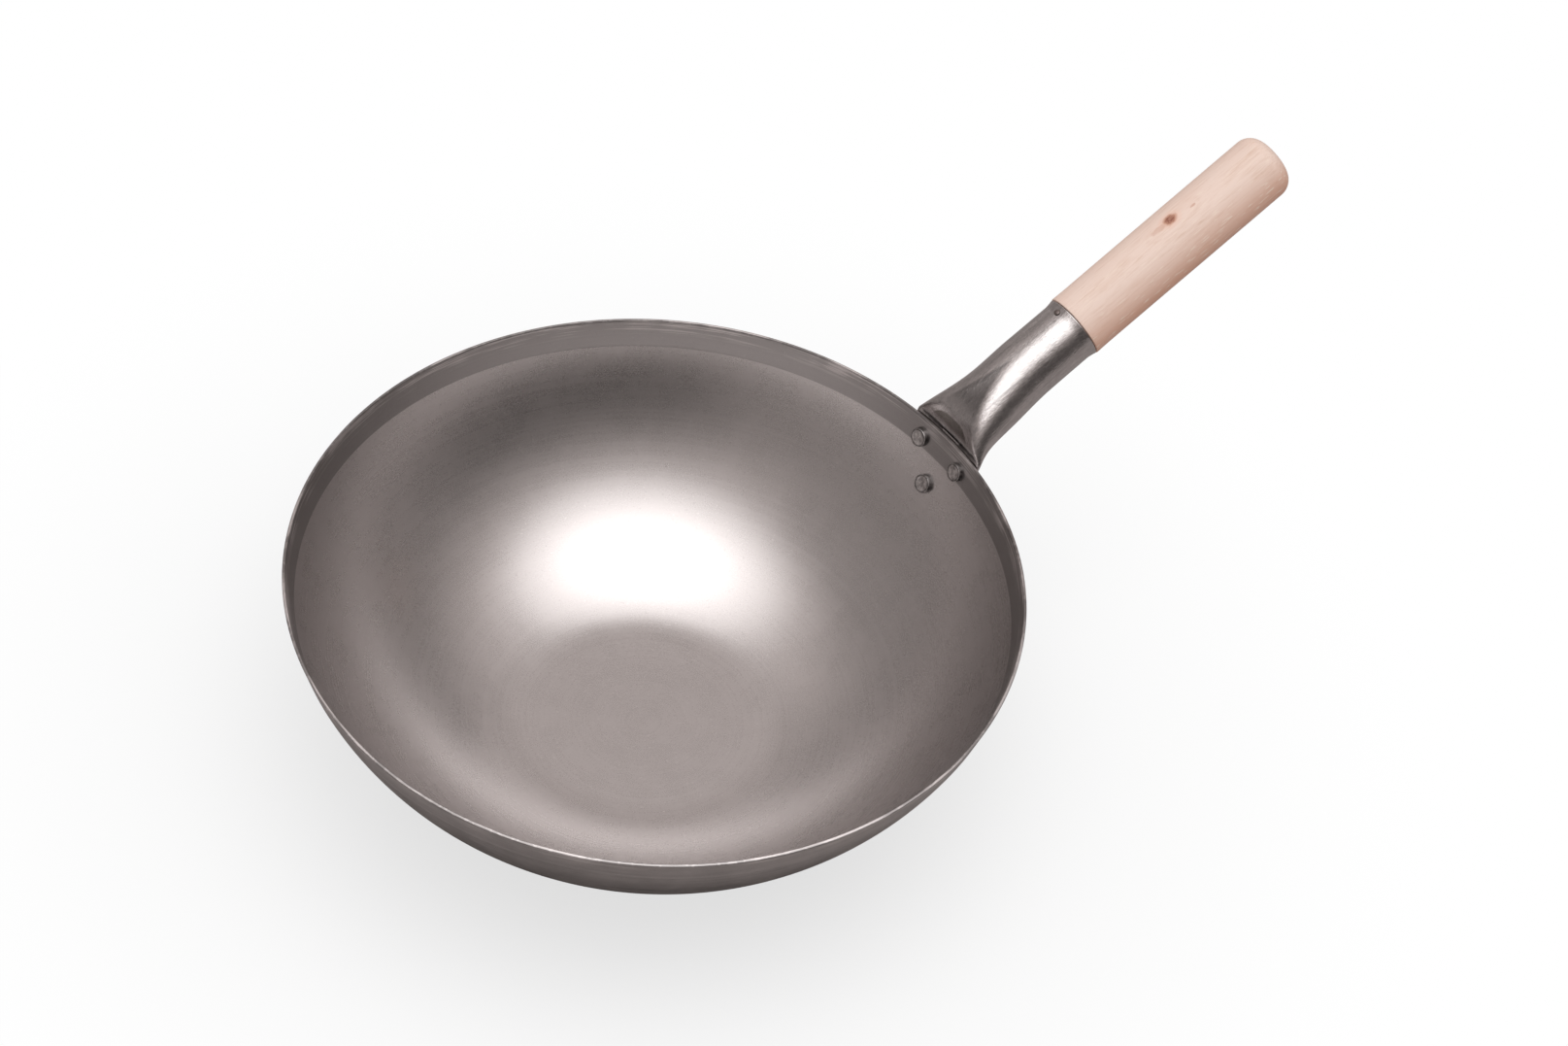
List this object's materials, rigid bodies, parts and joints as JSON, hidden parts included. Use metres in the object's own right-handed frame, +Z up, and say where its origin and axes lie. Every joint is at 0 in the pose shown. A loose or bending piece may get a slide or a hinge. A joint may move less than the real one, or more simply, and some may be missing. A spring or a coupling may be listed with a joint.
{
  "type": "wok",
  "caption": "Flat-based round wok pressed from bare carbon steel, with a riveted steel tube socket and a turned wooden grip, for stir-frying on a stovetop.",
  "frame": {"origin": "centre of the flat underside of the base", "axes": "+X along the handle, seen from above; +Z up, along the bowl's axis"},
  "size_m": [0.5603, 0.36, 0.2189],
  "materials": {
    "bowl_steel": "satin, faint concentric marks",
    "socket_steel": "polished lengthwise",
    "grip_wood": "raw, sanded",
    "rivet_steel": "hammered",
    "nail_steel": "dull"
  },
  "bodies": {
    "root": {"wok_bowl": "bowl_steel", "handle_socket": "socket_steel", "wood_grip": "grip_wood", "rivet_upper_left": "rivet_steel", "rivet_upper_right": "rivet_steel", "rivet_lower": "rivet_steel", "grip_nail": "nail_steel"}
  },
  "joints": []
}
